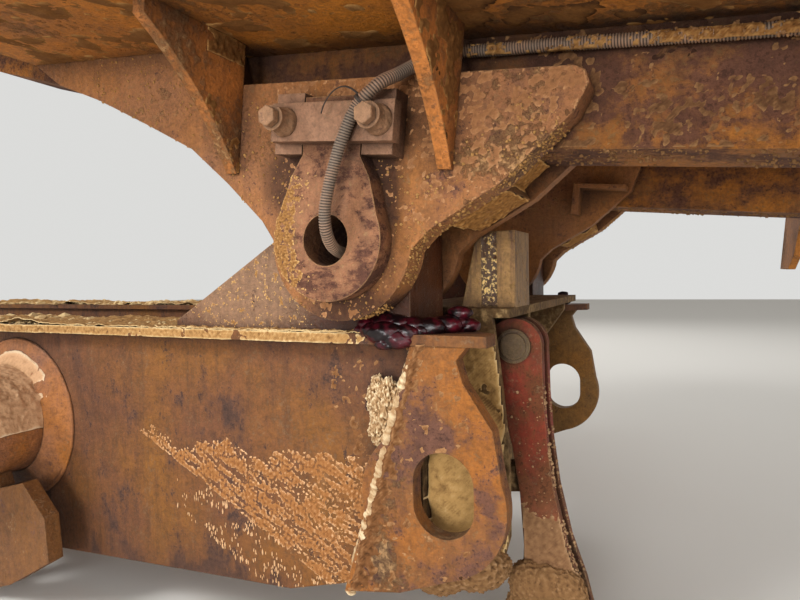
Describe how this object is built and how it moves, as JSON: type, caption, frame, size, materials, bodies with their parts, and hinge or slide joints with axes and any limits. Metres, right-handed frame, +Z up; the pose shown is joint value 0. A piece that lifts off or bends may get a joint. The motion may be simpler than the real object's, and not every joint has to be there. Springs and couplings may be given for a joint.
{
  "type": "dump body hinge section",
  "caption": "Rear frame tail and tipping body underframe of a hauler, joined by hollow hinge pins, with a swinging body lock arm.",
  "frame": {"origin": "centre of the cross tube's bore, midway between the rails", "axes": "+X towards the front of the truck, +Y to its left along the cross tube, +Z up"},
  "size_m": [3.0645, 1.72, 1.3171],
  "materials": {
    "frame_paint": "worn yellow paint with rust and dried mud",
    "body_paint": "worn yellow paint with rust and dried mud",
    "bare_steel": "rusted steel under dust and old grease",
    "red_paint": "worn red paint",
    "hose_guard": "dusty spiral hose guard"
  },
  "bodies": {
    "rear_frame": {"rail_left": "frame_paint", "rail_right": "frame_paint", "end_plate_left": "frame_paint", "end_plate_right": "frame_paint", "hinge_ear_left": "bare_steel", "hinge_ear_right": "bare_steel", "tail_deck": "frame_paint", "tail_box": "frame_paint", "guide_post_left": "bare_steel", "cross_tube": "frame_paint", "tube_collar_left": "frame_paint", "tube_collar_right": "frame_paint", "link_bracket_left": "frame_paint", "link_bracket_right": "frame_paint", "arm_lug": "frame_paint", "arm_pin": "bare_steel", "arm_stop": "frame_paint"},
    "dump_body": {"body_floor": "body_paint", "main_floor": "body_paint", "body_side_left": "body_paint", "body_side_right": "body_paint", "body_beam_left": "body_paint", "body_beam_right": "body_paint", "front_cross_member": "body_paint", "tail_bolster": "body_paint", "outer_hinge_plate_left": "body_paint", "outer_hinge_plate_right": "body_paint", "inner_hinge_plate_left": "body_paint", "inner_hinge_plate_right": "body_paint", "closing_plate_left": "body_paint", "closing_plate_right": "body_paint", "gussets_left": "body_paint", "gussets_right": "body_paint", "tail_flap_left": "body_paint", "tail_flap_right": "body_paint", "lock_lug": "body_paint", "hinge_pin_left": "bare_steel", "hinge_pin_right": "bare_steel", "keeper_blocks_left": "bare_steel", "keeper_blocks_right": "bare_steel", "keeper_plate_left": "bare_steel", "keeper_plate_right": "bare_steel", "keeper_bolts_left": "bare_steel", "keeper_bolts_right": "bare_steel", "harness_hose": "hose_guard"},
    "lock_arm": {"lock_arm": "red_paint"}
  },
  "joints": [
    {"name": "body_hinge", "type": "hinge", "parent": "rear_frame", "child": "dump_body", "pos_m": [-0.85, 0, 0.34], "axis": [0, -1, 0], "range_deg": [-28, 40]},
    {"name": "arm_pivot", "type": "hinge", "parent": "rear_frame", "child": "lock_arm", "pos_m": [-1.037, 0.22, 0.166], "axis": [0, 1, 0], "range_deg": [0, 60]}
  ]
}
